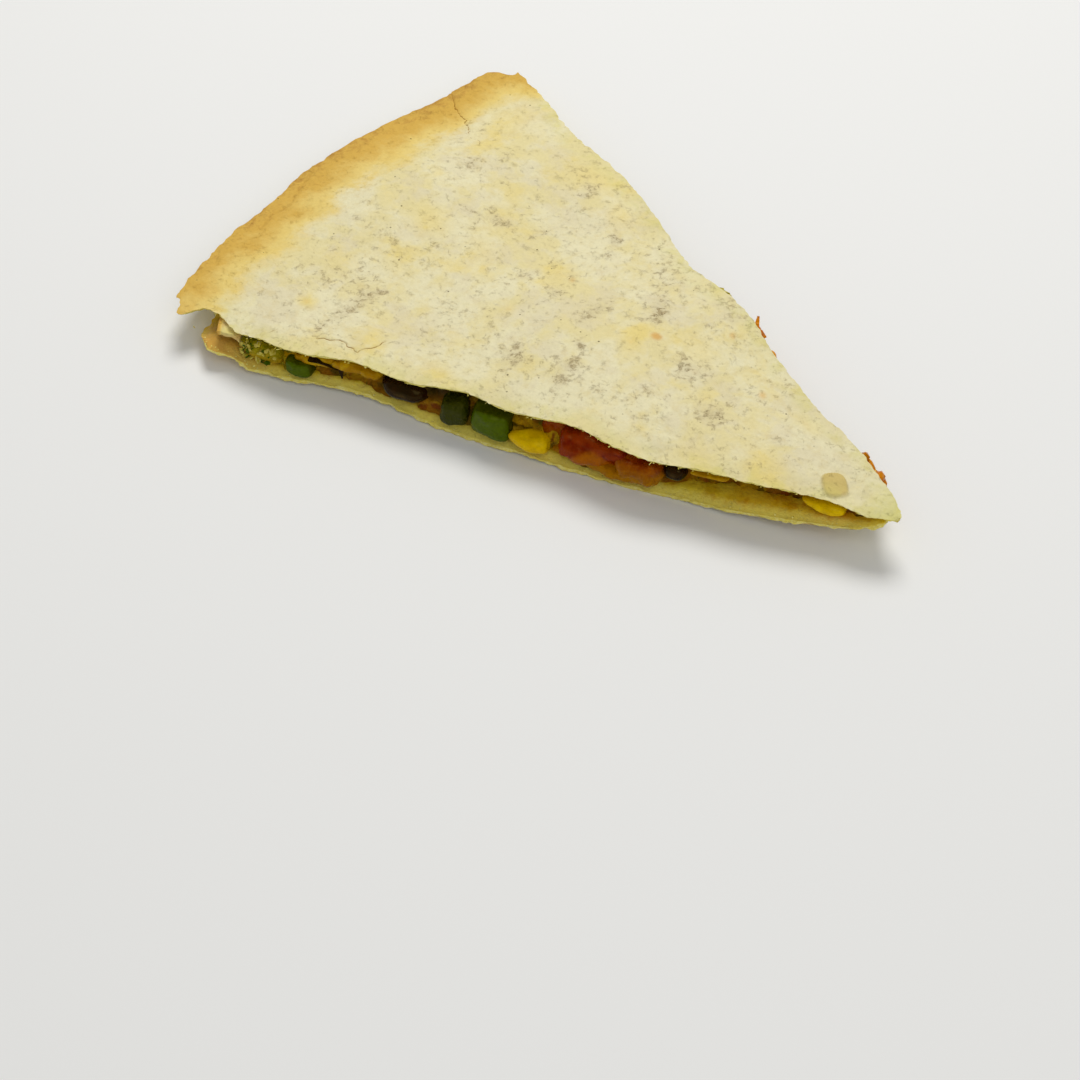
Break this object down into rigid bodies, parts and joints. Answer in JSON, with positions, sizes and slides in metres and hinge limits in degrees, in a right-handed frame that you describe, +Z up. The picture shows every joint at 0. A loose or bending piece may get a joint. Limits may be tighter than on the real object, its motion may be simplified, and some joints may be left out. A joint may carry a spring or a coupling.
{
  "type": "quesadilla",
  "caption": "Wedge of baked quesadilla: toasted flour tortilla sheets, browned at the rim, around melted cheese with green pepper, sweetcorn, beans, tomato and meat showing at both cuts.",
  "frame": {"origin": "middle of the slice's box, at the surface it lies on", "axes": "+X from the rim to the tip, +Z up from the underside to the top sheet"},
  "size_m": [0.1543, 0.1061, 0.0131],
  "materials": {
    "crust_top": "dry baked flour tortilla, cream with a browned rim",
    "crust_under": "dry baked flour tortilla, cream with brown toasted spots",
    "melted_cheese": "moist melted cheese with sauce",
    "green_pepper": "cooked green pepper, moist",
    "sweetcorn": "cooked sweetcorn, moist",
    "tomato": "cooked tomato, moist",
    "brown_bean": "cooked brown bean",
    "black_bean": "cooked black bean",
    "sauced_meat": "shredded meat in orange sauce"
  },
  "bodies": {
    "root": {"tortilla_top": "crust_top", "tortilla_bottom": "crust_under", "filling": "melted_cheese", "pepper_green": "green_pepper", "pepper_dark": "green_pepper", "pepper_front_small": "green_pepper", "pepper_back": "green_pepper", "corn_front": "sweetcorn", "corn_tip": "sweetcorn", "corn_back": "sweetcorn", "tomato_front": "tomato", "tomato_back": "tomato", "bean_brown": "brown_bean", "bean_small": "black_bean", "bean_black": "black_bean", "bean_back": "black_bean", "bean_rim": "black_bean", "meat_tip": "sauced_meat", "meat_middle": "sauced_meat"}
  },
  "joints": []
}
